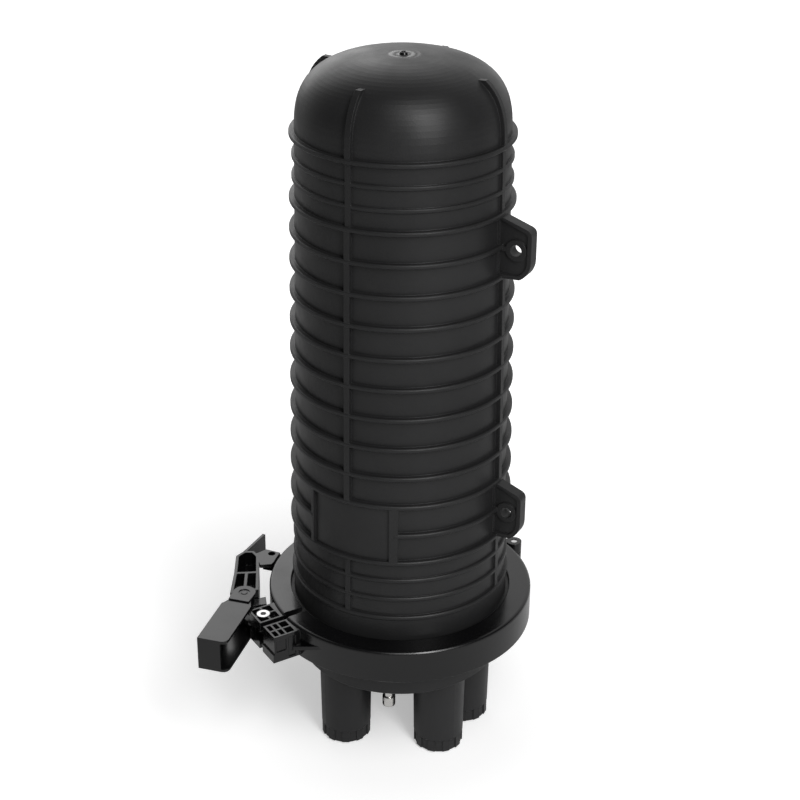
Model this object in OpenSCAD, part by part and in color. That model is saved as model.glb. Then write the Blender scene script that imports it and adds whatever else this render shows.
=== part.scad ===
// Dome splice closure for fibre cables: a ribbed dome clamped to a ported base,
// with a hinged two-piece clamp, a draw latch, an air valve and a stack of splice trays.
// The ports' sealed ends lie on z = 0, the dome's axis is the Z axis and the ears point along +X.

/* [Clamp ring] */
// Outer radius of the clamp ring, which every other radius follows
clamp_r = 104; // [98:0.5:112]
// Height of the clamp ring
clamp_h = 26.6; // [24:0.2:30]
// Rounding of the ring's upper outer edge
clamp_ease = 2.2; // [0.8:0.1:2.6]
// Break of the ring's lower outer edge
clamp_break = 0.6; // [0.3:0.1:1.2]
// Wall of the clamp behind its groove
clamp_wall = 3.2; // [2.5:0.1:3.6]
// Width of the ring's flat face, from its outside to its lips
face_w = 17; // [15:0.5:18]
// Thickness of a lip at its inner edge
lip_t = 2.8; // [2:0.1:4]
// Rise of the groove's cone from its root to its lip
groove_rise = 3.9; // [3:0.1:5]
// Half of the gap between the two halves at the latch
split_half_gap = 3.4; // [2.5:0.1:4]
// Half of the gap between the two halves at the hinge
hinge_half_gap = 1.2; // [0.8:0.1:2]
// Direction of the latch, seen from above
latch_dir = -120.5; // [-130:0.5:-110]
// Outer radius of a hinge knuckle
knuckle_r = 6.2; // [5.5:0.1:7]
// Radius of the hinge pin
hinge_pin_r = 2.5; // [2:0.1:3]

/* [Base] */
// How far the base body stays inside the clamp's lips
base_step = 7; // [6:0.5:9]
// Thickness of the base floor
base_floor = 5; // [4:0.5:7]
// Height from the underside of the floor to the clamp
base_rise = 29; // [24:1:36]
// Wall of the base body
base_wall = 4; // [3:0.5:5]

/* [Cable ports] */
// Length of a port below the base floor
port_len = 70; // [55:1:90]
// Outer radius of a round port at the floor
port_r = 20.6; // [18:0.1:21]
// How much narrower a round port is at its foot, on the radius
port_draft = 0.9; // [0:0.1:1.2]
// Wall of every port
port_wall = 3; // [2:0.1:4]
// Distance from the base body's side to a round port
port_edge = 6.6; // [6:0.1:9]
// Angle of the two ports on the ears' side
ear_port_angle = 25.4; // [25:0.2:30]
// Angle of the two ports on the other side
back_port_angle = 116; // [114:1:120]
// Length of the narrower sealed end
port_end_len = 10.6; // [8:0.1:16]
// How much narrower the sealed end is, on the radius
port_end_step = 1.1; // [0.8:0.1:2]
// Width of a grip rib on the sealed end
grip_w = 6; // [4:0.1:7]
// Number of grip ribs round a round port
grip_count = 10; // [8:1:12]
// Distance of the oval port's centre behind the axis
oval_shift = 48; // [44:0.5:50]
// Length of the oval port
oval_l = 48; // [44:1:54]
// Width of the oval port
oval_w = 31; // [28:1:32]

/* [Dome] */
// How far the plain collar above the clamp stays inside the clamp's lips
collar_step = 3; // [2:0.1:4]
// How far the wall's foot stays inside the collar
foot_step = 1.75; // [1.5:0.05:3]
// Loss of the wall's radius for each millimetre up
dome_taper = 0.0152; // [0.01:0.0002:0.0165]
// Thickness of the wall
dome_wall = 3.6; // [2.5:0.1:4]
// Height of the rounded cap
cap_h = 56.8; // [45:0.2:65]
// Squareness of the cap's curve
cap_power = 3.05; // [2.4:0.05:3.4]
// Height from the clamp's top to the lowest rib
first_rib_rise = 17.7; // [14:0.1:22]
// Spacing of the close ribs near both ends
close_pitch = 16; // [14:0.5:18]
// Number of close ribs below the wide ones
low_ribs = 3; // [3:1:4]
// Number of widely spaced ribs
wide_ribs = 12; // [12:1:14]
// Spacing of the wide ribs
wide_pitch = 23.46; // [22:0.02:25]
// Number of close ribs above the wide ones
top_ribs = 3; // [2:1:4]
// Height of a rib's band
rib_h = 3.4; // [2.4:0.1:4.5]
// How far a wide rib stands out
wide_proud = 3.9; // [3:0.1:4.2]
// How far a close rib stands out
close_proud = 2; // [1.5:0.1:2.2]
// How far the lowest rib stands out
collar_proud = 2.9; // [2:0.1:3.2]

/* [Fins and window] */
// Width of an upright fin
fin_w = 4.5; // [3:0.1:6]
// How far a fin stays below a wide rib's edge
fin_drop = 0.3; // [0.1:0.1:1]
// How far a fin stands out from the cap
cap_fin_proud = 3; // [2:0.1:3.4]
// Share of the cap's quarter turn that a fin climbs
fin_climb = 0.55; // [0.3:0.01:0.65]
// Direction of the label window's middle
window_dir = -88.6; // [-96:0.2:-84]
// Angle that the label window spans
window_span = 50.7; // [40:0.1:60]
// Ribs below the window's top edge, counted from the highest wide rib
window_rib = 9; // [8:1:9]
// How far the window's panel stands out
panel_proud = 1.2; // [0.6:0.1:1.8]
// Width of the window's narrow side rib
side_rib_w = 2.6; // [2:0.1:4]
// Width of the window's broad side rib
broad_rib_w = 6; // [4:0.1:7]

/* [Mounting ears] */
// Distance from the wall's foot out to the ears' holes
ear_hole_out = 9.8; // [9:0.1:11]
// Radius of an ear's hole
ear_hole_r = 4.3; // [3.3:0.1:4.5]
// Height of the upper hole below its rib
ear_drop = 0.7; // [0:0.1:2]
// Distance between the two ears' holes
ear_spacing = 211.1; // [200:0.1:220]
// Thickness of an ear
ear_t = 9.3; // [7:0.1:11]
// Material outside an ear's hole, from its centre
ear_lip = 11.7; // [11:0.1:13]
// Height of the ear above its hole at the dome
ear_up = 24.6; // [23:0.1:27]
// Height of the ear below its hole at the dome
ear_down = 22.8; // [22:0.1:25]
// Width of the ear's rim
ear_rim = 3.2; // [2.4:0.1:4]
// Depth of the ear's pockets
ear_pocket = 1.7; // [1:0.1:2.4]
// Radius of the boss round an ear's hole
ear_boss_r = 8; // [7.5:0.1:8.5]

/* [Latch] */
// Height left between the clamp's faces and the lugs
lug_inset = 2; // [1.6:0.1:2.6]
// Reach of both lugs outside the clamp
lug_out = 20; // [19.4:0.1:20.4]
// How far the lugs' lower ledge stands out from them
ledge_out = 1; // [0.4:0.1:1.2]
// Length of the catch lug along the clamp
catch_l = 18.6; // [16:0.2:20]
// Length of the pivot lug along the clamp
pivot_lug_l = 20.5; // [20:0.1:21.5]
// Distance of the lever's pivot outside the clamp
lever_out = 12.4; // [12:0.1:12.8]
// Angle of the lever's pivot from the latch
lever_at = -6.6; // [-6.8:0.1:-6.2]
// Distance of the clasp's pivot outside the clamp
clasp_out = 20.7; // [20.3:0.1:21.2]
// Angle of the clasp's pivot from the latch
clasp_at = -20.1; // [-20.6:0.1:-19.6]
// Radius of the lever's hollow pin
lever_pin_r = 3.2; // [2.6:0.1:3.4]
// Radius of the clasp's pin
clasp_pin_r = 2.4; // [2:0.1:2.8]
// Thickness of the lever's arm
arm_t = 7.6; // [6:0.1:9]
// Radius of the lever's eyes
lever_eye_r = 7; // [6.6:0.1:7.2]
// Wall of the lever's webs
lever_wall = 2.4; // [1.8:0.1:3]
// Thickness of the clasp's plates
clasp_plate = 2.2; // [2.1:0.1:2.6]
// Thickness of the clasp's web and end wall
clasp_web = 2.8; // [2.4:0.1:3]
// Width of the clasp
clasp_w = 23.8; // [23:0.1:24.2]
// Thickness of the clasp's eyes
clasp_eye_t = 1.3; // [1:0.1:4]
// Radius of the clasp's eyes
clasp_eye_r = 9; // [8.4:0.1:9.4]
// Angle between the clasp as drawn and the clasp hooked shut
clasp_open = 48; // [30:1:60]

/* [Air valve] */
// Direction of the valve, seen from above
valve_dir = -71.4; // [-76:0.2:-66]
// Distance from the base body's side to the valve
valve_edge = 30; // [28:0.5:32]
// Radius of the valve's stem
stem_r = 3.85; // [3.5:0.05:4.2]
// Length of the stem below the base floor
stem_below = 27; // [26:0.5:34]
// Radius of the valve's cap
cap_r = 5.1; // [4.9:0.1:6]
// Length of the valve's cap
cap_l = 9; // [8:0.1:12]

/* [Trays and frame] */
// Thickness of a tray
tray_t = 8.2; // [7:0.1:8.4]
// Width of a tray
tray_w = 104; // [96:1:106]
// Length of a tray
tray_l = 240; // [200:5:280]
// Wall of a tray
tray_wall = 1.6; // [1.2:0.1:2]
// Height of the frame's foot above the base floor
foot_rise = 8; // [8:0.5:12]
// Thickness of the frame's sheet
sheet_t = 2; // [1.5:0.1:2.4]
// Width of the frame's upright
upright_w = 88; // [84:1:92]
// Radius of the frame's screws
screw_r = 2; // [1.5:0.1:2.2]

/* [Hidden] */
$fn = 96;

// Clearances: moving pieces, running pins, pieces that only lie in one another, and
// the overlap by which joined shapes meet
gap = 0.3;
run_gap = 0.06;
seat_gap = 0.2;
lap = 1;
eps = 0.01;

// Radii, worked in from the clamp
root_r = clamp_r - clamp_wall;
flange_r = root_r - gap;
lip_r = clamp_r - face_w;
lip_gap_r = lip_r - gap;
base_r = lip_r - base_step;
collar_r = lip_r - collar_step;
foot_r = collar_r - foot_step;
port_pitch_r = base_r - port_r - port_edge;
valve_pitch_r = base_r - valve_edge;
seal_r = (lip_r + flange_r) / 2;
seal_w = 4.6;
seal_h = 3.6;

// Heights, worked up from the port ends
floor_z = port_len;
inside_z = floor_z + base_floor;
clamp_z0 = floor_z + base_rise;
clamp_z1 = clamp_z0 + clamp_h;
joint_z = (clamp_z0 + clamp_z1) / 2;
groove_lip = clamp_h / 2 - lip_t;
groove_root = groove_lip - groove_rise;
first_rib_z = clamp_z1 + first_rib_rise;
wide_z0 = first_rib_z + low_ribs * close_pitch;
wide_z1 = wide_z0 + (wide_ribs - 1) * wide_pitch;
top_rib_z = wide_z1 + top_ribs * close_pitch;
cap_z = top_rib_z - rib_h * 0.7;
apex_z = cap_z + cap_h;
dome_r = foot_r - dome_taper * (cap_z - first_rib_z);
cap_steps = 22;

low_rib_zs = [for (i = [1:low_ribs - 1]) first_rib_z + i * close_pitch];
wide_rib_zs = [for (i = [0:wide_ribs - 1]) wide_z0 + i * wide_pitch];
top_rib_zs = [for (i = [1:top_ribs - 1]) wide_z1 + i * close_pitch];
window_z1 = wide_z1 - window_rib * wide_pitch;
window_z0 = window_z1 - 2 * wide_pitch;
window_rib_z = window_z1 - wide_pitch;
window_start = window_dir - window_span / 2;
narrow_angle = side_rib_w / dome_r * 180 / PI;
broad_angle = broad_rib_w / dome_r * 180 / PI;

// Ears: the outline's corner radii and where they sit
ear_hole_x = foot_r + ear_hole_out;
ear_reach = ear_hole_x + ear_lip;
ear_z1 = wide_z1 - wide_pitch - ear_drop;
ear_zs = [ear_z1, ear_z1 - ear_spacing];
ear_top_r = 5;
ear_top_z = 12;
ear_low_r = 16;
ear_low_z = -7.5;

// Ports, as angles from the ears' side
round_port_angles = [-back_port_angle, -ear_port_angle, ear_port_angle, back_port_angle];
port_bevel = 1.6;
port_bore_r = port_r - port_draft - port_end_step - port_wall;

// Clamp hinge and lugs; in the latch's frame +X points out of the clamp at the latch
split_angle = asin(split_half_gap / clamp_r);
hinge_angle = asin(hinge_half_gap / clamp_r);
hinge_r = clamp_r + knuckle_r + gap;
knuckle_h = (clamp_h - 2 * gap) / 3;
lug_x0 = root_r + 0.4;
lug_reach = clamp_r + lug_out;
lug_z0 = clamp_z0 + lug_inset;
lug_z1 = clamp_z1 - lug_inset;
lug_h = lug_z1 - lug_z0;
lug_side = split_half_gap - 1;
catch_far = lug_side + catch_l;
ledge_h = 7;
slot_l = 8;
web_z = clamp_z0 + 8.5;
web_rise = 20;
web_t = 3;
web_angle = 26.4;
lock_hole_r = 2.9;
lock_t = 3;
lock_lug_w = 13;

// A point that lies out from the clamp's outside, at an angle from the latch
function off_clamp(out, angle) = (clamp_r + out) * [cos(angle), sin(angle)];

lever_pivot = off_clamp(lever_out, lever_at);
clasp_pivot = off_clamp(clasp_out, clasp_at);
lock_place = off_clamp(6.6, -50);
lever_rim = [[31.7, -21.4], [29.1, -33.8], [33.3, -44.6], [29.6, -48.4],
  [21.9, -49.5], [15.2, -46.7], [9.3, -35.1], [9, -22.1]];
lever_points = [for (p = lever_rim) off_clamp(p[0], p[1])];
lever_pull = off_clamp(27.2, -61.6);
shoulder_rim = [[4.2, -16.9], [15.3, -17.1], [16.9, -20.8], [3.6, -22.4]];
shoulder_drop = 7.6;
lock_rim = [[1, -52], [-1.4, -50.6], [1.6, -42], [10.4, -40.4], [19, -48], [13.5, -52.3]];

arm_z0 = joint_z - arm_t / 2;
arm_w = 10;
barrel_r = lever_eye_r + 1;
pin_head_r = 4.9;
pin_head_t = 0.8;
pin_bore_r = 2.2;
pin_bore_l = 5;
clasp_z0 = lug_z0 - gap - clasp_plate;
clasp_z1 = lug_z1 + gap + clasp_plate;
eye_z0 = clamp_z0 - gap - clasp_eye_t;
eye_z1 = clamp_z1 + gap + clasp_eye_t;
eye_end = 12;
eye_half = clasp_eye_r - 0.6;
plate_end = 16.4;
eye_sink_r = 4.3;
eye_sink = 0.6;
plate_s = barrel_r + 1.2;
kink_s = 18.9;
clasp_round = 5;
web_s = 17.2;
hook_in = 6.4;
hook_s = norm([lug_reach + ledge_out - clasp_pivot[0], catch_far - clasp_pivot[1]]) + gap;
clasp_l = hook_s + clasp_web;

// Valve
valve_hex_r = 7.5;
valve_flange_t = 4;
washer_r = 7;
washer_t = 1.2;
nut_t = 4;
stem_above = 3;
stem_bore_r = 1.9;
core_l = 22;
core_head_l = 7.7;
core_up = 1.5;
cap_end_t = 3.5;
cap_drop = 4.5;
cap_round = 1.8;

// Frame and trays; the trays' backs face +X
post_r = 5;
post_places = [[10, -33], [10, 33], [25, 0]];
clamp_places = [[23, -32], [23, -14], [23, 14], [23, 32]];
clamp_block = [9, 10, 10];
clamp_bore_r = 1.6;
clamp_screw_l = 4.6;
head_t = 2.4;
foot_z = inside_z + foot_rise;
foot_points = [[4, 26], [15, 26], [15, -26], [4, -26], [4, -38], [30, -38], [30, 38], [4, 38]];
upright_x = 16;
neck_w = 52;
neck_h = 40;
upright_top = apex_z - 147;
flange_w = 10;
tray_count = 4;
tray_pitch = tray_t + 0.4;
tray_rise = 66;
tray_z0 = foot_z + tray_rise;
tray_mid_z = tray_z0 + tray_l / 2;
tray_corner = 22;
tray_pin_r = 2;
tray_pin_z = tray_z0 - 6;
cheek_y = 34;
cheek_t = 3;
cheek_low = 22;
cheek_h = 27;
hinge_back_t = 4;
hinge_back_h = 12;
cover_t = 1.6;
strap_t = 1.2;
strap_w = 16;
strap_up = 20;
stack_x = upright_x - seat_gap - tray_count * tray_pitch;
basket_d = 26;
basket_h = 70;
basket_wall = 2;
basket_rim = 14;

charcoal = [0.17, 0.17, 0.18];
gloss_black = [0.05, 0.05, 0.055];
steel = [0.75, 0.76, 0.78];

function arc(c, r, a0, a1, n = 8) =
  [for (i = [0:n]) let (a = a0 + (a1 - a0) * i / n) [c[0] + r * cos(a), c[1] + r * sin(a)]];

// Radius of the dome's wall at height z, and the point of the cap's curve at angle t
function wall_r(z) = foot_r - dome_taper * (z - first_rib_z);
function cap_point(t, inset) =
  [(dome_r - inset) * pow(cos(t), 2 / cap_power), cap_z + (cap_h - inset) * pow(sin(t), 2 / cap_power)];
function cap_curve(t0, t1, inset, n) =
  [for (i = [0:n]) cap_point(t0 + (t1 - t0) * i / n, inset)];

// A wall band between two heights, from a depth inside the wall to proud of the wall
function band(z0, z1, proud, depth = dome_wall / 2) = [[wall_r(z0) - depth, z0],
  [wall_r(z0) + proud, z0], [wall_r(z1) + proud, z1], [wall_r(z1) - depth, z1]];

// A polygon drawn in by d; its points run clockwise
function inset(points, d) = let (n = len(points)) [for (i = [0:n - 1]) let (
    a = points[(i + n - 1) % n], b = points[i], c = points[(i + 1) % n],
    u = (b - a) / norm(b - a), v = (c - b) / norm(c - b),
    nu = [u[1], -u[0]], nv = [v[1], -v[0]])
  b + d * (nu + nv) / (1 + nu * nv)];

module ring(r0, r1, z0, z1) {
  rotate_extrude() translate([r0, z0]) square([r1 - r0, z1 - z0]);
}

module rounded(w, l, r, h) {
  linear_extrude(h) union() {
    square([w - 2 * r, l], center = true);
    square([w, l - 2 * r], center = true);
    for (sx = [-1, 1], sy = [-1, 1]) translate([sx * (w / 2 - r), sy * (l / 2 - r)]) circle(r = r);
  }
}

// ---- Dome ----

// The dome's section from the flange to the apex
module dome_section() {
  collar_top = first_rib_z - rib_h / 2;
  outer = concat(
    [[flange_r, joint_z], [flange_r, joint_z + groove_root - gap],
     [lip_gap_r, joint_z + groove_lip - gap], [collar_r, joint_z + groove_lip - gap],
     [collar_r, collar_top], [wall_r(collar_top), collar_top]],
    cap_curve(0, 90, 0, cap_steps));
  inner = concat(
    [for (i = [cap_steps:-1:0]) cap_point(90 * i / cap_steps, dome_wall)],
    [[foot_r - dome_wall, first_rib_z], [foot_r - dome_wall, joint_z]]);
  polygon(concat(outer, inner));
}

module rib_section(z, proud) {
  root = wall_r(z) - dome_wall / 2;
  edge = wall_r(z) + proud;
  round_in = rib_h * 0.22;
  polygon([[root, z - rib_h / 2], [edge - round_in, z - rib_h / 2], [edge, z - rib_h / 2 + round_in],
    [edge, z + rib_h / 2 - round_in], [edge - round_in, z + rib_h / 2], [root, z + rib_h / 2]]);
}

// Outline of the upright fin's upper stretch, which climbs the cap and sinks into it
function top_fin(z0) = let (n = 10, t1 = 90 * fin_climb, sink = 0.4)
  concat([[wall_r(z0) - dome_wall / 2, z0], [wall_r(z0) + close_proud, z0],
      [wall_r(top_rib_z) + close_proud, top_rib_z - rib_h / 3]],
    [for (i = [0:n - 1]) cap_point(t1 * i / n, -cap_fin_proud)],
    [cap_point(t1, sink)],
    [for (i = [n:-1:0]) cap_point(t1 * i / n, dome_wall / 2)]);

module upright(angle) {
  rotate([0, 0, angle]) rotate([90, 0, 0])
    linear_extrude(fin_w, center = true) children();
}

module fins() {
  main_proud = wide_proud - fin_drop;
  for (angle = [0, 90, 180, 270]) {
    upright(angle) polygon(band(first_rib_z, wide_z0, close_proud - fin_drop / 2));
    upright(angle) polygon(top_fin(wide_z1));
  }
  for (angle = [0, 90, 180]) upright(angle) polygon(band(wide_z0, wide_z1, main_proud));
  upright(270) polygon(band(window_z1, wide_z1, main_proud));
}

// The label window: a smooth panel with a narrow and a broad side rib
module window_frame() {
  side_proud = wide_proud - fin_drop;
  under = 0.7;
  rotate([0, 0, window_start + narrow_angle * under])
    rotate_extrude(angle = window_span - (narrow_angle + broad_angle) * under)
      polygon(band(window_z0 - rib_h / 4, window_z1 + rib_h / 4, panel_proud, dome_wall / 3));
  rotate([0, 0, window_start]) rotate_extrude(angle = narrow_angle)
    polygon(band(window_z0, window_z1, side_proud));
  rotate([0, 0, window_start + window_span - broad_angle]) rotate_extrude(angle = broad_angle)
    polygon(band(window_z0, window_z1, side_proud));
}

// The rib at the window's middle height stops at the window's side ribs
module broken_rib() {
  under = 0.4;
  rotate([0, 0, window_start + window_span - broad_angle * under])
    rotate_extrude(angle = 360 - window_span + (broad_angle + narrow_angle) * under)
      rib_section(window_rib_z, wide_proud);
}

// Outline of an ear in the XZ plane round its hole's height, drawn in by inset
function ear_outline(root, inset) = concat(
  [[root, inset - ear_down]],
  arc([ear_reach - ear_low_r, ear_low_z], ear_low_r - inset, -61, 0, 6),
  arc([ear_reach - ear_top_r, ear_top_z], ear_top_r - inset, 0, 70, 5),
  [[root, ear_up - inset]]);

module ear_plate(z) {
  root = wall_r(z) - dome_wall / 2;
  translate([0, 0, z]) rotate([90, 0, 0]) difference() {
    linear_extrude(ear_t, center = true) polygon(ear_outline(root, 0));
    for (side = [-1, 1]) translate([0, 0, side * (ear_t - ear_pocket + lap) / 2])
      linear_extrude(ear_pocket + lap, center = true) difference() {
        polygon(ear_outline(wall_r(z) + 1, ear_rim));
        translate([ear_hole_x, 0]) circle(r = ear_boss_r);
        translate([root, -rib_h / 2]) square([ear_hole_x - root, rib_h]);
      }
  }
}

module ear_holes() {
  for (z = ear_zs) translate([ear_hole_x, 0, z]) rotate([90, 0, 0])
    cylinder(r = ear_hole_r, h = ear_t + 2 * lap, center = true);
}

module dome_cover() {
  color(charcoal) difference() {
    union() {
      rotate_extrude() {
        dome_section();
        rib_section(first_rib_z, collar_proud);
        for (z = concat(low_rib_zs, top_rib_zs)) rib_section(z, close_proud);
        for (z = wide_rib_zs) if (abs(z - window_rib_z) > eps) rib_section(z, wide_proud);
        rib_section(top_rib_z, wide_proud);
      }
      broken_rib();
      fins();
      window_frame();
      for (z = ear_zs) ear_plate(z);
    }
    ear_holes();
  }
}

// ---- Base with its ports ----

module at_ports() {
  for (angle = round_port_angles) rotate([0, 0, angle]) translate([port_pitch_r, 0, 0]) children();
}

module oval_shape(inset) {
  half = (oval_l - oval_w) / 2;
  translate([-oval_shift, 0]) {
    square([oval_w - 2 * inset, 2 * half], center = true);
    for (side = [-1, 1]) translate([0, side * half]) circle(r = oval_w / 2 - inset);
  }
}

// A round port with its drafted barrel, its sealed end and the end's grip ribs
module round_port() {
  barrel = port_r - port_draft;
  end_r = barrel - port_end_step;
  rotate_extrude() polygon([[0, 0], [end_r - port_bevel, 0], [end_r, port_bevel], [end_r, port_end_len],
    [barrel, port_end_len + port_bevel], [port_r, floor_z], [port_r, floor_z + lap], [0, floor_z + lap]]);
  for (i = [0:grip_count - 1]) rotate([0, 0, (i + 0.5) * 360 / grip_count])
    translate([end_r - lap, -grip_w / 2, port_bevel])
      cube([lap + port_end_step * 0.7, grip_w, port_end_len - port_bevel + lap]);
}

module round_port_bore() {
  translate([0, 0, port_wall]) cylinder(r = port_bore_r, h = inside_z);
}

module oval_port() {
  linear_extrude(port_end_len + lap) oval_shape(port_end_step);
  translate([0, 0, port_end_len]) linear_extrude(floor_z + lap - port_end_len) oval_shape(0);
  pitch = grip_w * 2;
  ribs = floor((oval_l - oval_w) / pitch);
  rib_d = lap + port_end_step * 0.7;
  for (side = [-1, 1], i = [0:ribs - 1])
    translate([side * (oval_w / 2 - port_end_step - lap + rib_d / 2) - rib_d / 2 - oval_shift,
      (i - (ribs - 1) / 2) * pitch - grip_w / 2, port_bevel])
      cube([rib_d, grip_w, port_end_len - port_bevel + lap]);
}

module base_body() {
  bevel = 1.5;
  rotate_extrude() polygon([[0, floor_z], [base_r - bevel, floor_z], [base_r, floor_z + bevel],
    [base_r, joint_z - groove_lip + gap], [lip_gap_r, joint_z - groove_lip + gap],
    [flange_r, joint_z - groove_root + gap], [flange_r, joint_z],
    [base_r - base_wall, joint_z], [base_r - base_wall, inside_z], [0, inside_z]]);
}

// The base carries three posts for the frame's foot
module port_base() {
  color(charcoal) difference() {
    union() {
      base_body();
      at_ports() round_port();
      oval_port();
      for (p = post_places) translate([p[0], p[1], inside_z - lap]) cylinder(r = post_r, h = foot_rise + lap);
    }
    at_ports() round_port_bore();
    translate([0, 0, port_wall]) linear_extrude(inside_z) oval_shape(port_end_step + port_wall);
    ring(seal_r - seal_w / 2, seal_r + seal_w / 2, joint_z - seal_h, joint_z + lap);
    at_valve(floor_z - lap) cylinder(r = stem_r + seat_gap, h = base_floor + 2 * lap);
    for (p = post_places) translate([p[0], p[1], inside_z - lap])
      cylinder(r = screw_r + run_gap, h = foot_rise + 2 * lap);
  }
}

module seal_ring() {
  side = seal_w / 2 - seat_gap;
  half = seal_h / 2 - run_gap / 2;
  round_r = 1;
  u = side - round_r;
  v = half - round_r;
  color("dimgray") translate([0, 0, joint_z - seal_h / 2]) rotate_extrude() translate([seal_r, 0])
    polygon(concat(arc([u, v], round_r, 0, 90, 4), arc([-u, v], round_r, 90, 180, 4),
      arc([-u, -v], round_r, 180, 270, 4), arc([u, -v], round_r, 270, 360, 4)));
}

// ---- Clamp ----

module at_latch() { rotate([0, 0, latch_dir]) children(); }

module clamp_section() {
  edge_steps = 3;
  rounding = [for (i = [0:edge_steps]) let (a = i * 90 / edge_steps)
    [clamp_r - clamp_ease * (1 - cos(a)), clamp_z1 - clamp_ease * (1 - sin(a))]];
  polygon(concat([[lip_r, clamp_z0], [clamp_r - clamp_break, clamp_z0], [clamp_r, clamp_z0 + clamp_break]],
    rounding, [[lip_r, clamp_z1], [lip_r, joint_z + groove_lip], [root_r, joint_z + groove_root],
    [root_r, joint_z - groove_root], [lip_r, joint_z - groove_lip]]));
}

module half_ring() {
  rotate([0, 0, split_angle]) rotate_extrude(angle = 180 - split_angle - hinge_angle) clamp_section();
}

// A knuckle of the hinge and the web that joins it to its half; the hinge lies at x = -hinge_r
module knuckle(z0, z1) {
  into = 2.5;
  translate([-hinge_r, 0, z0]) {
    cylinder(r = knuckle_r, h = z1 - z0);
    translate([0, hinge_half_gap, 0]) cube([hinge_r - clamp_r + into, knuckle_r - hinge_half_gap, z1 - z0]);
  }
}

module hinge_bore() {
  translate([-hinge_r, 0, clamp_z0 - lap]) cylinder(r = hinge_pin_r + run_gap, h = clamp_h + 2 * lap);
}

// Pockets in a lug's top face: nx by ny of them, inside a rectangle from (x0, y0)
module pockets(x0, y0, w, d, nx, ny, depth, wall) {
  px = (w - (nx + 1) * wall) / nx;
  py = (d - (ny + 1) * wall) / ny;
  for (i = [0:nx - 1], j = [0:ny - 1])
    translate([x0 + wall + i * (px + wall), y0 + wall + j * (py + wall), lug_z1 - depth])
      cube([px, py, depth + lap]);
}

// The catch lug: pockets in its top, a ledge at its foot, panels in its end and a web to the ring
module catch_lug() {
  depth = 7;
  wall = 1.8;
  panel = 0.8;
  panel_h = lug_h - 5;
  difference() {
    union() {
      translate([lug_x0, lug_side, lug_z0]) cube([lug_reach - lug_x0, catch_l, lug_h]);
      translate([lug_reach - lap, lug_side, lug_z0]) cube([lap + ledge_out, catch_l, ledge_h]);
    }
    pockets(clamp_r + slot_l, lug_side, lug_out - slot_l, catch_l, 2, 2, depth, wall);
    pockets(clamp_r, lug_side, slot_l + wall, catch_l, 1, 2, depth, wall);
    translate([clamp_r + wall, catch_far - panel, lug_z0 + wall]) cube([slot_l - wall, lap + panel, panel_h]);
    translate([clamp_r + slot_l + wall, catch_far - panel, lug_z0 + ledge_h + wall])
      cube([lug_out - slot_l - 2 * wall, lap + panel, panel_h - ledge_h]);
  }
  translate([0, catch_far, web_z]) rotate([web_rise, 0, 0]) translate([0, -catch_far, 0])
    linear_extrude(web_t) polygon([[lug_x0 + lap, catch_far - 2], [clamp_r + 6, catch_far - 2],
      off_clamp(0.3, web_angle), off_clamp(-2, web_angle)]);
}

module clamp_half_front() {
  color(gloss_black) at_latch() difference() {
    union() {
      half_ring();
      knuckle(clamp_z0 + knuckle_h + gap, clamp_z1 - knuckle_h - gap);
      catch_lug();
    }
    hinge_bore();
  }
}

// The pivot lug: its slot takes the lever's arm and its top has pockets round the pin's boss
module pivot_lug() {
  y0 = -lug_side - pivot_lug_l;
  slot_x = lever_pivot[0] - lever_eye_r - 0.6;
  depth = 4;
  wall = 1.8;
  boss_r = pin_head_r + 0.8;
  chamfer = 5;
  difference() {
    union() {
      translate([0, y0, lug_z0]) linear_extrude(lug_h)
        polygon([[lug_x0, 0], [lug_reach - chamfer, 0], [lug_reach, chamfer / 2],
          [lug_reach, pivot_lug_l], [lug_x0, pivot_lug_l]]);
      translate([lug_reach - lap, y0 + chamfer, lug_z0])
        cube([lap + ledge_out, pivot_lug_l - chamfer, ledge_h]);
    }
    translate([slot_x, y0 - lap, arm_z0 - gap]) cube([lug_reach, pivot_lug_l + 2 * lap, arm_t + 2 * gap]);
    difference() {
      pockets(clamp_r + 0.5, y0, lug_out - 0.5, pivot_lug_l, 2, 2, depth, wall);
      translate([lever_pivot[0], lever_pivot[1], lug_z0]) cylinder(r = boss_r, h = clamp_h);
    }
    translate([lever_pivot[0], lever_pivot[1], lug_z0 - lap])
      cylinder(r = lever_pin_r + run_gap, h = clamp_h);
    translate([lever_pivot[0], lever_pivot[1], lug_z1 - pin_head_t])
      cylinder(r = pin_head_r + run_gap, h = pin_head_t + lap);
  }
}

// Lock lug on the rear half, under the lever's lock plate
module lock_lug() {
  z0 = joint_z + 1;
  z1 = clamp_z1 - lock_t - gap;
  end = 5.5;
  difference() {
    rotate([0, 0, atan2(lock_place[1], lock_place[0])])
      translate([lug_x0, -lock_lug_w / 2, z0]) cube([norm(lock_place) + end - lug_x0, lock_lug_w, z1 - z0]);
    translate([lock_place[0], lock_place[1], clamp_z0]) cylinder(r = lock_hole_r, h = clamp_h);
  }
}

module clamp_half_rear() {
  color(gloss_black) at_latch() difference() {
    union() {
      mirror([0, 1, 0]) {
        half_ring();
        knuckle(clamp_z0, clamp_z0 + knuckle_h);
        knuckle(clamp_z1 - knuckle_h, clamp_z1);
      }
      pivot_lug();
      lock_lug();
    }
    hinge_bore();
  }
}

module clamp_hinge_pin() {
  short = 0.4;
  color(steel) at_latch() translate([-hinge_r, 0, clamp_z0 + short])
    cylinder(r = hinge_pin_r, h = clamp_h - 2 * short);
}

// ---- Draw latch ----

// A straight bar of width t from p to q
module bar(p, q, t) {
  translate(p) rotate([0, 0, atan2(q[1] - p[1], q[0] - p[0])])
    translate([0, -t / 2]) square([norm(q - p), t]);
}

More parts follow.
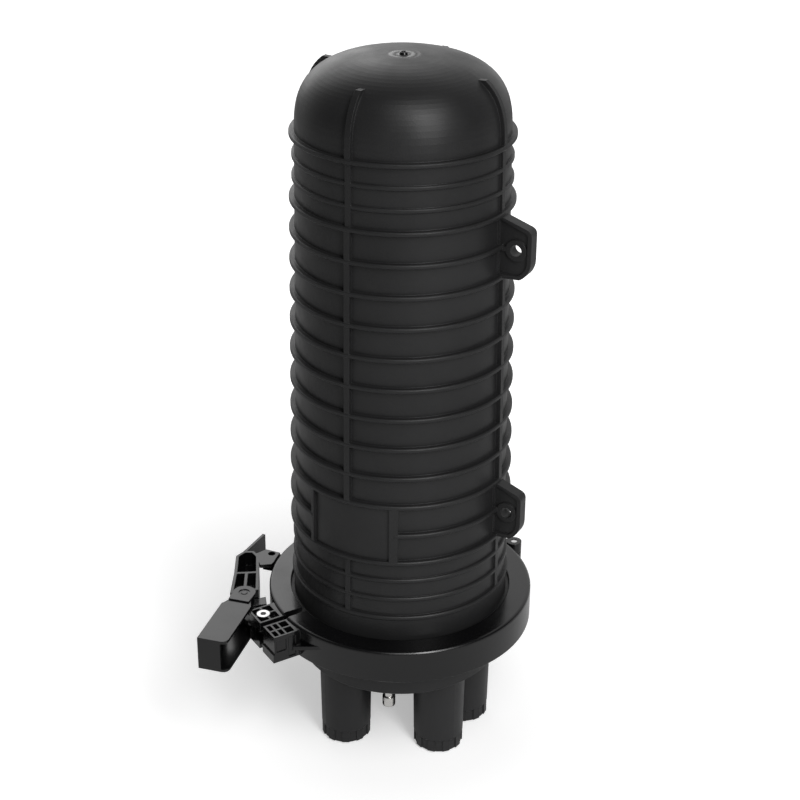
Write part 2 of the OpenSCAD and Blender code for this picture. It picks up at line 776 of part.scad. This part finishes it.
// The lever's handle, seen from above: a rim, a rung, a spine, a floor at half height and a pull
module lever_shell() {
  mid = inset(lever_points, lever_wall / 2);
  pull_dir = (mid[3] - lever_pull) / norm(mid[3] - lever_pull);
  translate([0, 0, clamp_z0]) linear_extrude(clamp_h) {
    difference() {
      polygon(lever_points);
      polygon(inset(lever_points, lever_wall));
    }
    bar(mid[1], mid[6], lever_wall);
    bar((mid[1] + mid[6]) / 2, clasp_pivot, lever_wall);
    bar(mid[3] + pull_dir, lever_pull, lever_wall);
  }
  translate([0, 0, joint_z - lever_wall / 2]) linear_extrude(lever_wall) polygon(mid);
  translate([0, 0, lug_z0]) linear_extrude(clamp_z1 - shoulder_drop - lug_z0)
    polygon([for (p = shoulder_rim) off_clamp(p[0], p[1])]);
}

module lever_arm() {
  d = lever_pivot - clasp_pivot;
  past = 4;
  translate([lever_pivot[0], lever_pivot[1], arm_z0]) cylinder(r = lever_eye_r, h = arm_t);
  translate([clasp_pivot[0], clasp_pivot[1], clamp_z0]) cylinder(r = barrel_r, h = clamp_h);
  translate([clasp_pivot[0], clasp_pivot[1], arm_z0]) rotate([0, 0, atan2(d[1], d[0])])
    translate([0, -arm_w / 2, 0]) cube([norm(d) + past, arm_w, arm_t]);
}

module lock_plate() {
  clear_r = clamp_r + 0.8;
  translate([0, 0, clamp_z1 - lock_t]) linear_extrude(lock_t) difference() {
    polygon([for (p = lock_rim) off_clamp(p[0], p[1])]);
    circle(r = clear_r);
  }
}

module latch_lever() {
  color(gloss_black) at_latch() difference() {
    union() {
      lever_shell();
      lever_arm();
      lock_plate();
    }
    translate([lock_place[0], lock_place[1], clamp_z0]) cylinder(r = lock_hole_r, h = clamp_h + lap);
    translate([lever_pivot[0], lever_pivot[1], clamp_z0 - lap])
      cylinder(r = lever_pin_r + run_gap, h = clamp_h + 2 * lap);
    translate([clasp_pivot[0], clasp_pivot[1], clamp_z0 - lap])
      cylinder(r = clasp_pin_r + run_gap, h = clamp_h + 2 * lap);
  }
}

// A hollow rivet: its flat head lies in the pivot lug's top
module lever_pin() {
  foot = 0.2;
  color(steel) at_latch() translate([lever_pivot[0], lever_pivot[1], lug_z0 + foot]) difference() {
    union() {
      cylinder(r = lever_pin_r, h = lug_h - foot);
      translate([0, 0, lug_h - foot - pin_head_t]) cylinder(r = pin_head_r, h = pin_head_t);
    }
    translate([0, 0, lug_h - foot - pin_bore_l]) cylinder(r = pin_bore_r, h = pin_bore_l + lap);
  }
}

// The clasp in its own frame: pivot at the origin, its length along +X, open side towards +Y
module clasp_shape() {
  half = clasp_w / 2;
  corner = [for (i = [0:3]) let (a = i * 30) [clasp_l - clasp_round * (1 - cos(a)), half - clasp_round * (1 - sin(a))]];
  for (z = [clasp_z0, clasp_z1 - clasp_plate]) translate([0, 0, z]) linear_extrude(clasp_plate)
    polygon(concat([[plate_s, 1.6 - clasp_eye_r], [plate_s + 4, -clasp_eye_r - 0.3], [kink_s, -half],
      [clasp_l, -half]], corner, [[plate_end, half], [plate_s, clasp_eye_r]]));
  for (top = [0, 1]) difference() {
    translate([0, 0, top == 0 ? eye_z0 : clamp_z1 + gap]) linear_extrude(clasp_eye_t) {
      circle(r = clasp_eye_r);
      polygon([[0, -clasp_eye_r], [eye_end, -eye_half], [eye_end, eye_half], [0, clasp_eye_r]]);
    }
    translate([0, 0, eye_z0 - lap]) cylinder(r = clasp_pin_r + run_gap, h = eye_z1 - eye_z0 + 2 * lap);
    translate([0, 0, top == 0 ? eye_z0 - lap : eye_z1 - eye_sink]) cylinder(r = eye_sink_r, h = eye_sink + lap);
  }
  translate([web_s, -half, clasp_z0]) cube([clasp_l - web_s, clasp_web, clasp_z1 - clasp_z0]);
  translate([hook_s, -half, clasp_z0]) cube([clasp_web, half + hook_in, clasp_z1 - clasp_z0]);
}

module latch_clasp() {
  color(gloss_black) at_latch() translate([clasp_pivot[0], clasp_pivot[1], 0])
    rotate([0, 0, 90 - clasp_open]) clasp_shape();
}

module clasp_pin() {
  short = eye_sink / 2;
  color(gloss_black) at_latch() translate([clasp_pivot[0], clasp_pivot[1], eye_z0 + short])
    cylinder(r = clasp_pin_r, h = eye_z1 - eye_z0 - 2 * short);
}

// ---- Air valve ----

module at_valve(z) { rotate([0, 0, valve_dir]) translate([valve_pitch_r, 0, z]) children(); }

module valve_body() {
  stem_l = stem_below + base_floor + nut_t + stem_above;
  color(steel) at_valve(0) difference() {
    union() {
      translate([0, 0, floor_z - stem_below]) cylinder(r = stem_r, h = stem_l);
      translate([0, 0, floor_z - washer_t - valve_flange_t])
        cylinder(r = valve_hex_r, h = valve_flange_t, $fn = 6);
    }
    translate([0, 0, floor_z - stem_below - lap]) cylinder(r = stem_bore_r, h = stem_l + 2 * lap);
  }
}

module valve_core() {
  color("gold") at_valve(floor_z - stem_below + core_up) {
    cylinder(r = stem_bore_r - 0.15, h = core_head_l);
    cylinder(r = stem_bore_r * 0.45, h = core_l);
  }
}

module valve_washer() {
  color("black") at_valve(floor_z - washer_t) difference() {
    cylinder(r = washer_r, h = washer_t);
    translate([0, 0, -lap]) cylinder(r = stem_r + seat_gap, h = washer_t + 2 * lap);
  }
}

module valve_nut() {
  color(steel) at_valve(inside_z) difference() {
    cylinder(r = valve_hex_r, h = nut_t, $fn = 6);
    translate([0, 0, -lap]) cylinder(r = stem_r + run_gap, h = nut_t + 2 * lap);
  }
}

module valve_cap() {
  color(steel) at_valve(floor_z - stem_below - cap_drop) difference() {
    rotate_extrude() polygon(concat([[0, 0]], arc([cap_r - cap_round, cap_round], cap_round, 270, 360, 5),
      [[cap_r, cap_l], [0, cap_l]]));
    translate([0, 0, cap_end_t]) cylinder(r = stem_r + run_gap, h = cap_l);
  }
}

// ---- Frame and trays ----

module tray_frame() {
  z1 = foot_z + neck_h;
  window = [70, 50, 8];
  color(steel) difference() {
    union() {
      translate([0, 0, foot_z]) linear_extrude(sheet_t) polygon(foot_points);
      translate([upright_x, -neck_w / 2, foot_z]) cube([sheet_t, neck_w, tray_z0 - foot_z]);
      translate([upright_x, -upright_w / 2, z1]) cube([sheet_t, upright_w, upright_top - z1]);
      for (y = [-upright_w / 2, upright_w / 2 - sheet_t])
        translate([upright_x, y, z1]) cube([flange_w, sheet_t, upright_top - z1]);
    }
    for (p = post_places) translate([p[0], p[1], foot_z - lap])
      cylinder(r = screw_r + run_gap, h = sheet_t + 2 * lap);
    for (up = [tray_l / 4, tray_l * 5 / 8]) translate([upright_x - lap, 0, tray_z0 + up]) rotate([0, 90, 0])
      rounded(window[0], window[1], window[2], sheet_t + 2 * lap);
  }
}

module frame_screws() {
  color(steel) for (p = post_places) translate([p[0], p[1], 0]) {
    translate([0, 0, foot_z + sheet_t]) cylinder(r = screw_r * 2, h = head_t);
    translate([0, 0, inside_z]) cylinder(r = screw_r, h = foot_rise + sheet_t + head_t / 2);
  }
}

function tray_x(i) = upright_x - seat_gap - (i + 0.5) * tray_pitch;

module tray_hinge_plate() {
  half = cheek_y + cheek_t;
  z0 = tray_pin_z - cheek_low;
  color("white") difference() {
    union() {
      translate([upright_x - hinge_back_t, -half, z0]) cube([hinge_back_t, 2 * half, hinge_back_h]);
      for (y = [-half, cheek_y]) translate([stack_x, y, z0]) cube([upright_x - stack_x, cheek_t, cheek_h]);
    }
    for (i = [0:tray_count - 1]) translate([tray_x(i), 0, tray_pin_z]) rotate([90, 0, 0])
      cylinder(r = tray_pin_r + run_gap, h = 2 * (half + lap), center = true);
  }
}

// A splice tray in its own plane: width along X, length along Y, open side up
module tray_shape() {
  comb_l = 44;
  comb_pitch = 5;
  comb_w = 1.6;
  comb_h = tray_t - tray_wall - 1.4;
  spool_r = 20;
  spool_wall = 2;
  difference() {
    rounded(tray_w, tray_l, tray_corner, tray_t);
    translate([0, 0, tray_wall])
      rounded(tray_w - 2 * tray_wall, tray_l - 2 * tray_wall, tray_corner - tray_wall, tray_t);
  }
  for (i = [-4:4]) translate([i * comb_pitch - comb_w / 2, -comb_l / 2, tray_wall - eps])
    cube([comb_w, comb_l, comb_h]);
  for (side = [-1, 1]) translate([0, side * tray_l * 0.29, 0]) difference() {
    cylinder(r = spool_r, h = tray_t - 0.8);
    translate([0, 0, tray_wall]) cylinder(r = spool_r - spool_wall, h = tray_t);
  }
}

module splice_tray(i) {
  play = 0.5;
  tab_h = 7;
  color("gainsboro") {
    translate([tray_x(i) + tray_t / 2, 0, tray_mid_z]) rotate([90, 0, -90]) tray_shape();
    translate([tray_x(i), 0, tray_pin_z]) rotate([90, 0, 0])
      cylinder(r = tray_pin_r, h = 2 * (cheek_y + cheek_t + lap), center = true);
    translate([tray_x(i) - tray_pin_r / 2, play - cheek_y, tray_pin_z])
      cube([tray_pin_r, 2 * (cheek_y - play), tab_h]);
  }
}

module splice_tray_1() { splice_tray(0); }
module splice_tray_2() { splice_tray(1); }
module splice_tray_3() { splice_tray(2); }
module splice_tray_4() { splice_tray(3); }

module tray_cover() {
  color([0.8, 0.85, 0.9, 0.5]) translate([stack_x, 0, tray_mid_z])
    rotate([90, 0, -90]) rounded(tray_w, tray_l, tray_corner, cover_t);
}

module tray_strap() {
  x0 = stack_x - cover_t - seat_gap;
  x1 = upright_x + flange_w + seat_gap;
  half = tray_w / 2 + seat_gap;
  corner = 0.4;
  color("black") translate([(x0 + x1) / 2, 0, tray_mid_z + strap_up]) difference() {
    rounded(x1 - x0 + 2 * strap_t, 2 * (half + strap_t), strap_t + corner, strap_w);
    translate([0, 0, -lap]) rounded(x1 - x0, 2 * half, corner, strap_w + 2 * lap);
  }
}

module tube_basket() {
  w = upright_w - 2 * (sheet_t + lap);
  side = 16;
  color("white") translate([upright_x + sheet_t, -w / 2, foot_z + neck_h + basket_rim / 2]) difference() {
    cube([basket_d, w, basket_h]);
    translate([basket_wall, basket_wall, basket_wall])
      cube([basket_d - 2 * basket_wall, w - 2 * basket_wall, basket_h]);
    translate([basket_d - basket_wall - lap, side, basket_rim])
      cube([basket_wall + 2 * lap, w - 2 * side, basket_h - 2 * basket_rim]);
  }
}

module strength_clamps() {
  bore_z = clamp_block[2] / 2 - 1;
  color(steel) for (p = clamp_places) translate([p[0], p[1], foot_z + sheet_t]) difference() {
    translate([-clamp_block[0] / 2, -clamp_block[1] / 2, 0]) cube(clamp_block);
    translate([0, 0, bore_z]) rotate([0, 90, 0])
      cylinder(r = clamp_bore_r, h = clamp_block[0] + 2 * lap, center = true);
    translate([0, 0, clamp_block[2] / 2]) cylinder(r = screw_r + run_gap, h = clamp_block[2]);
  }
}

module strength_clamp_screws() {
  color(steel) for (p = clamp_places) translate([p[0], p[1], foot_z + sheet_t + clamp_block[2]]) {
    cylinder(r = screw_r * 1.9, h = head_t);
    translate([0, 0, 0.8 - clamp_screw_l]) cylinder(r = screw_r, h = clamp_screw_l);
  }
}

dome_cover();
port_base();
seal_ring();
clamp_half_front();
clamp_half_rear();
clamp_hinge_pin();
latch_lever();
latch_clasp();
lever_pin();
clasp_pin();
valve_body();
valve_core();
valve_washer();
valve_nut();
valve_cap();
tray_frame();
frame_screws();
tray_hinge_plate();
splice_tray_1();
splice_tray_2();
splice_tray_3();
splice_tray_4();
tray_cover();
tray_strap();
tube_basket();
strength_clamps();
strength_clamp_screws();
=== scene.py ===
import math
import bmesh
import bpy
from mathutils import Matrix, Vector


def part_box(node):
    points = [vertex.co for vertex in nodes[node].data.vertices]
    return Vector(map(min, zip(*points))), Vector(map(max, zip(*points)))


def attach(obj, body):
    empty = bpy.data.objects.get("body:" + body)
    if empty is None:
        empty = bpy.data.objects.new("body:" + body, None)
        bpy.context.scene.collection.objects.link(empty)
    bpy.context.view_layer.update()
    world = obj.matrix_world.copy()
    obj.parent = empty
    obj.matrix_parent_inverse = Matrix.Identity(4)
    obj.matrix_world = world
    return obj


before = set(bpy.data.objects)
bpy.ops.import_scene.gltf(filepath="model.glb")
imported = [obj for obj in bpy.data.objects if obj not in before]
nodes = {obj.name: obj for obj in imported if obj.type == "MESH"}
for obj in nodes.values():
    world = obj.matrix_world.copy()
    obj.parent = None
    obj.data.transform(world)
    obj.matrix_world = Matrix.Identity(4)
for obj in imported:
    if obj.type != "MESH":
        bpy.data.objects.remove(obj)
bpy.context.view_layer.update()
print("frame loaded:", len(nodes), "nodes")

cameraSetup = {
    "turn": 28.0, "tilt": 26.2, "roll": 0.396,   # degrees: round the object, downwards, about the view
    "place": (0.5478, -1.0303, 0.8724),
    "lens": 77.59, "shift": (-0.0017, -0.0202),
}


def makeCamera(setup):
    camera = bpy.data.objects.new("viewCamera", bpy.data.cameras.new("viewCamera"))
    bpy.context.scene.collection.objects.link(camera)
    camera.data.sensor_width = 36.0
    camera.data.lens = setup["lens"]
    camera.data.shift_x, camera.data.shift_y = setup["shift"]
    camera.data.clip_start = 0.05
    turned = (Matrix.Rotation(math.radians(setup["turn"]), 4, "Z")
              @ Matrix.Rotation(math.radians(90.0 - setup["tilt"]), 4, "X")
              @ Matrix.Rotation(math.radians(setup["roll"]), 4, "Z"))
    turned.translation = Vector(setup["place"])
    camera.matrix_world = turned
    bpy.context.scene.camera = camera


makeCamera(cameraSetup)

# Area lamps: place, aim, size and watts; the sun: where it stands, its angle and its strength
lamps = {
    "frontSoft": {"place": (0.92, -0.66, 0.95), "aim": (0.0, 0.0, 0.30), "size": (0.35, 1.0), "watts": 10.0},
    "rearRim": {"place": (-0.9, 0.75, 0.9), "aim": (0.0, 0.0, 0.25), "size": (0.8, 0.8), "watts": 2.6},
}
sunSetup = {"turn": -38.0, "rise": 52.0, "angle": 40.0, "strength": 1.1}


def makeLamp(name, setup):
    lamp = bpy.data.objects.new(name, bpy.data.lights.new(name, "AREA"))
    bpy.context.scene.collection.objects.link(lamp)
    lamp.data.shape = "RECTANGLE"
    lamp.data.size, lamp.data.size_y = setup["size"]
    lamp.data.energy = setup["watts"]
    lamp.location = setup["place"]
    lamp.rotation_euler = (Vector(setup["aim"]) - Vector(setup["place"])).to_track_quat("-Z", "Y").to_euler()


def makeSun(setup):
    sun = bpy.data.objects.new("softSun", bpy.data.lights.new("softSun", "SUN"))
    bpy.context.scene.collection.objects.link(sun)
    sun.data.angle = math.radians(setup["angle"])
    sun.data.energy = setup["strength"]
    sun.rotation_euler = (math.radians(90.0 - setup["rise"]), 0.0, math.radians(setup["turn"] + 90.0))


for lampName, lampSetup in lamps.items():
    makeLamp(lampName, lampSetup)
makeSun(sunSetup)

# The world: white behind the object, dimmer in front of it; ambient is what lights the object
backdrop = {"white": 1.0, "ambient": 0.18, "dim": 0.08, "behind": (-0.47, 0.88, 0.0),
            "floorGlow": (0.40, 0.85), "floorColour": (0.80, 0.80, 0.80), "floorSize": 12.0}


def makeWorld(setup):
    world = bpy.data.worlds.new("paleStudio")
    bpy.context.scene.world = world
    world.use_nodes = True
    tree = world.node_tree
    tree.nodes.clear()
    links = tree.links

    def mathNode(operation, first, second):
        node = tree.nodes.new("ShaderNodeMath")
        node.operation = operation
        links.new(first, node.inputs[0])
        if isinstance(second, float):
            node.inputs[1].default_value = second
        else:
            links.new(second, node.inputs[1])
        return node.outputs[0]

    path = tree.nodes.new("ShaderNodeLightPath")
    direction = tree.nodes.new("ShaderNodeTexCoord")
    dot = tree.nodes.new("ShaderNodeVectorMath")
    dot.operation = "DOT_PRODUCT"
    dot.inputs[1].default_value = setup["behind"]
    links.new(direction.outputs["Generated"], dot.inputs[0])
    side = tree.nodes.new("ShaderNodeMapRange")
    side.inputs["From Min"].default_value = 0.15
    side.inputs["From Max"].default_value = 0.85
    side.inputs["To Min"].default_value = setup["dim"]
    side.inputs["To Max"].default_value = setup["white"]
    links.new(dot.outputs["Value"], side.inputs["Value"])
    shiny = mathNode("MAXIMUM", path.outputs["Is Glossy Ray"], path.outputs["Is Transmission Ray"])
    shinyPart = mathNode("MULTIPLY", shiny, side.outputs[0])
    diffuse = mathNode("MULTIPLY", mathNode("SUBTRACT", mathNode("ADD", shiny, 0.0), 1.0), -setup["ambient"])
    level = mathNode("MAXIMUM", mathNode("ADD", shinyPart, diffuse), path.outputs["Is Camera Ray"])
    back = tree.nodes.new("ShaderNodeBackground")
    back.inputs["Color"].default_value = (1.0, 1.0, 1.0, 1.0)
    out = tree.nodes.new("ShaderNodeOutputWorld")
    links.new(level, back.inputs["Strength"])
    links.new(back.outputs[0], out.inputs["Surface"])


def makeFloor(setup):
    mesh = bpy.data.meshes.new("paleFloor")
    shape = bmesh.new()
    bmesh.ops.create_grid(shape, x_segments=1, y_segments=1, size=setup["floorSize"] / 2)
    shape.to_mesh(mesh)
    shape.free()
    floor = bpy.data.objects.new("paleFloor", mesh)
    bpy.context.scene.collection.objects.link(floor)
    finish = bpy.data.materials.new("paleFloorPaint")
    finish.use_nodes = True
    tree = finish.node_tree
    tree.nodes.clear()
    path = tree.nodes.new("ShaderNodeLightPath")
    matt = tree.nodes.new("ShaderNodeBsdfDiffuse")
    matt.inputs["Color"].default_value = (*setup["floorColour"], 1.0)
    glow = tree.nodes.new("ShaderNodeEmission")
    glow.inputs["Color"].default_value = (1.0, 1.0, 1.0, 1.0)
    coords = tree.nodes.new("ShaderNodeTexCoord")
    away = tree.nodes.new("ShaderNodeVectorMath")
    away.operation = "LENGTH"
    fade = tree.nodes.new("ShaderNodeMapRange")
    fade.inputs["From Min"].default_value = 0.10
    fade.inputs["From Max"].default_value = 0.60
    fade.inputs["To Min"].default_value, fade.inputs["To Max"].default_value = setup["floorGlow"]
    share = tree.nodes.new("ShaderNodeMath")
    share.operation = "MULTIPLY"
    both = tree.nodes.new("ShaderNodeAddShader")
    out = tree.nodes.new("ShaderNodeOutputMaterial")
    links = tree.links
    links.new(coords.outputs["Object"], away.inputs[0])
    links.new(away.outputs["Value"], fade.inputs["Value"])
    links.new(path.outputs["Is Camera Ray"], share.inputs[0])
    links.new(fade.outputs[0], share.inputs[1])
    links.new(share.outputs[0], glow.inputs["Strength"])
    links.new(matt.outputs[0], both.inputs[0])
    links.new(glow.outputs[0], both.inputs[1])
    links.new(both.outputs[0], out.inputs["Surface"])
    mesh.materials.append(finish)


makeWorld(backdrop)
makeFloor(backdrop)
bpy.context.scene.view_settings.view_transform = "Standard"
print("camera, lamps and floor placed")


def newFinish(name):
    finish = bpy.data.materials.new(name)
    finish.use_nodes = True
    tree = finish.node_tree
    return finish, tree, tree.nodes["Principled BSDF"]


def noiseNode(tree, coords, scale, detail=3.0, roughness=0.5):
    noise = tree.nodes.new("ShaderNodeTexNoise")
    noise.inputs["Scale"].default_value = scale
    noise.inputs["Detail"].default_value = detail
    noise.inputs["Roughness"].default_value = roughness
    tree.links.new(coords, noise.inputs["Vector"])
    return noise.outputs["Fac"]


def rangeNode(tree, value, fromLow, fromHigh, toLow, toHigh):
    ranged = tree.nodes.new("ShaderNodeMapRange")
    for socket, number in (("From Min", fromLow), ("From Max", fromHigh), ("To Min", toLow), ("To Max", toHigh)):
        ranged.inputs[socket].default_value = number
    tree.links.new(value, ranged.inputs["Value"])
    return ranged.outputs[0]


def tintNode(tree, value, stops):
    ramp = tree.nodes.new("ShaderNodeValToRGB")
    elements = ramp.color_ramp.elements
    elements[0].position, elements[0].color = stops[0][0], (*stops[0][1], 1.0)
    elements[1].position, elements[1].color = stops[-1][0], (*stops[-1][1], 1.0)
    for place, colour in stops[1:-1]:
        middle = elements.new(place)
        middle.color = (*colour, 1.0)
    tree.links.new(value, ramp.inputs["Fac"])
    return ramp.outputs["Color"]


def bumpNode(tree, height, distance, strength, normal=None):
    bump = tree.nodes.new("ShaderNodeBump")
    bump.inputs["Distance"].default_value = distance
    bump.inputs["Strength"].default_value = strength
    tree.links.new(height, bump.inputs["Height"])
    if normal is not None:
        tree.links.new(normal, bump.inputs["Normal"])
    return bump.outputs["Normal"]


# Moulded plastics: two tones, their roughness, the grain's size and depth, and the rounding of edges
plastics = {
    "domePlastic": {"dark": (0.012, 0.012, 0.0123), "light": (0.017, 0.017, 0.0174), "rough": (0.36, 0.46),
                    "grain": 900.0, "grainDepth": 0.00012, "edge": 0.0007, "spec": 0.27,
                    "gate": {"outer": 0.013, "inner": 0.009, "above": 0.542, "rings": 60.0, "coat": 0.9}},
    "clampPlastic": {"dark": (0.002, 0.002, 0.0022), "light": (0.004, 0.004, 0.0043), "rough": (0.16, 0.26),
                     "grain": 260.0, "grainDepth": 0.00003, "edge": 0.0007, "spec": 0.45},
    "basePlastic": {"dark": (0.015, 0.015, 0.0155), "light": (0.021, 0.021, 0.0216), "rough": (0.38, 0.48),
                    "grain": 900.0, "grainDepth": 0.00010, "edge": 0.0007, "spec": 0.30},
}


# The polished ring that the moulding gate leaves round the apex, as a share of the dome's own finish
def gateSwirl(tree, shader, coords, gate, normal):
    parts = tree.nodes.new("ShaderNodeSeparateXYZ")
    flat = tree.nodes.new("ShaderNodeCombineXYZ")
    away = tree.nodes.new("ShaderNodeVectorMath")
    away.operation = "LENGTH"
    links = tree.links
    links.new(coords, parts.inputs[0])
    links.new(parts.outputs["X"], flat.inputs["X"])
    links.new(parts.outputs["Y"], flat.inputs["Y"])
    links.new(flat.outputs[0], away.inputs[0])
    inside = rangeNode(tree, away.outputs["Value"], gate["outer"], gate["inner"], 0.0, 1.0)
    high = rangeNode(tree, parts.outputs["Z"], gate["above"], gate["above"] + 0.004, 0.0, 1.0)
    share = tree.nodes.new("ShaderNodeMath")
    share.operation = "MULTIPLY"
    links.new(inside, share.inputs[0])
    links.new(high, share.inputs[1])
    swirl = tree.nodes.new("ShaderNodeTexWave")
    swirl.wave_type = "RINGS"
    swirl.rings_direction = "Z"
    swirl.inputs["Scale"].default_value = gate["rings"]
    swirl.inputs["Distortion"].default_value = 4.0
    links.new(coords, swirl.inputs["Vector"])
    patch = tree.nodes.new("ShaderNodeMath")
    patch.operation = "MULTIPLY"
    links.new(share.outputs[0], patch.inputs[0])
    links.new(swirl.outputs["Fac"], patch.inputs[1])
    links.new(rangeNode(tree, patch.outputs[0], 0.0, 1.0, 0.0, gate["coat"]), shader.inputs["Coat Weight"])
    shader.inputs["Coat Roughness"].default_value = 0.12
    return bumpNode(tree, patch.outputs[0], 0.0006, 0.6, normal)


def plasticFinish(name, setup):
    finish, tree, shader = newFinish(name)
    coords = tree.nodes.new("ShaderNodeTexCoord").outputs["Object"]
    clouds = noiseNode(tree, coords, 14.0, 4.0)
    grain = noiseNode(tree, coords, setup["grain"], 2.0)
    flow = noiseNode(tree, coords, 45.0, 3.0, 0.6)
    tree.links.new(tintNode(tree, clouds, [(0.3, setup["dark"]), (0.7, setup["light"])]), shader.inputs["Base Color"])
    tree.links.new(rangeNode(tree, flow, 0.3, 0.7, *setup["rough"]), shader.inputs["Roughness"])
    shader.inputs["Specular IOR Level"].default_value = setup["spec"]
    rounded = tree.nodes.new("ShaderNodeBevel")
    rounded.samples = 6
    rounded.inputs["Radius"].default_value = setup["edge"]
    wavy = bumpNode(tree, flow, 0.0004, 0.15, rounded.outputs["Normal"])
    if "gate" in setup:
        wavy = gateSwirl(tree, shader, coords, setup["gate"], wavy)
    tree.links.new(bumpNode(tree, grain, setup["grainDepth"], 0.5, wavy), shader.inputs["Normal"])
    return finish


finishes = {name: plasticFinish(name, setup) for name, setup in plastics.items()}

metals = {
    "valveMetal": {"colour": (0.72, 0.71, 0.69), "rough": (0.18, 0.34)},
    "pinMetal": {"colour": (0.62, 0.62, 0.62), "rough": (0.25, 0.4)},
}


def metalFinish(name, setup):
    finish, tree, shader = newFinish(name)
    coords = tree.nodes.new("ShaderNodeTexCoord").outputs["Object"]
    smear = noiseNode(tree, coords, 220.0, 4.0)
    shader.inputs["Base Color"].default_value = (*setup["colour"], 1.0)
    shader.inputs["Metallic"].default_value = 1.0
    tree.links.new(rangeNode(tree, smear, 0.3, 0.7, *setup["rough"]), shader.inputs["Roughness"])
    tree.links.new(bumpNode(tree, smear, 0.00005, 0.2), shader.inputs["Normal"])
    return finish


finishes.update({name: metalFinish(name, setup) for name, setup in metals.items()})

finishOf = {
    "domePlastic": ["dome_cover"],
    "basePlastic": ["port_base", "tray_hinge_plate", "tray_strap", "tube_basket"],
    "clampPlastic": ["clamp_half_front", "clamp_half_rear", "latch_lever", "latch_clasp", "clasp_pin"],
    "valveMetal": ["valve_body", "valve_core", "valve_nut", "valve_cap"],
    "pinMetal": ["clamp_hinge_pin", "lever_pin", "tray_frame", "frame_screws",
                 "strength_clamps", "strength_clamp_screws"],
}
placed = {name: finish for finish, names in finishOf.items() for name in names}
for nodeName, nodeObject in nodes.items():
    finish = finishes[placed.get(nodeName, "basePlastic")]
    nodeObject.data.materials.clear()
    nodeObject.data.materials.append(finish)
print("finishes given to the frame's nodes")

# The stub of the moulding gate, broken off at the apex
gateStub = {"radius": 0.0034, "top": 0.0026, "height": 0.0016, "sink": 0.0010, "hollow": 0.0009, "sides": 40}


def makeGateStub(setup, apex):
    mesh = bpy.data.meshes.new("gateStub")
    shape = bmesh.new()
    bmesh.ops.create_cone(shape, cap_ends=True, segments=setup["sides"], radius1=setup["radius"],
                          radius2=setup["top"], depth=setup["height"] + setup["sink"])
    bmesh.ops.translate(shape, vec=(0.0, 0.0, apex + (setup["height"] - setup["sink"]) / 2), verts=shape.verts)
    top = [face for face in shape.faces if face.normal.z > 0.9]
    bmesh.ops.inset_individual(shape, faces=top, thickness=setup["hollow"], depth=0.0)
    bmesh.ops.inset_individual(shape, faces=top, thickness=0.0004, depth=-setup["hollow"])
    rim = [edge for edge in shape.edges if edge.calc_face_angle(0.0) > 0.5]
    bmesh.ops.bevel(shape, geom=rim, offset=0.00025, offset_type="OFFSET", affect="EDGES", segments=2, profile=0.5,
                    material=-1)
    shape.to_mesh(mesh)
    shape.free()
    mesh.shade_smooth()
    stub = bpy.data.objects.new("gateStub", mesh)
    bpy.context.scene.collection.objects.link(stub)
    mesh.materials.append(finishes["clampPlastic"])
    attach(stub, "root")


makeGateStub(gateStub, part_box("dome_cover")[1][2])
print("gate stub made")
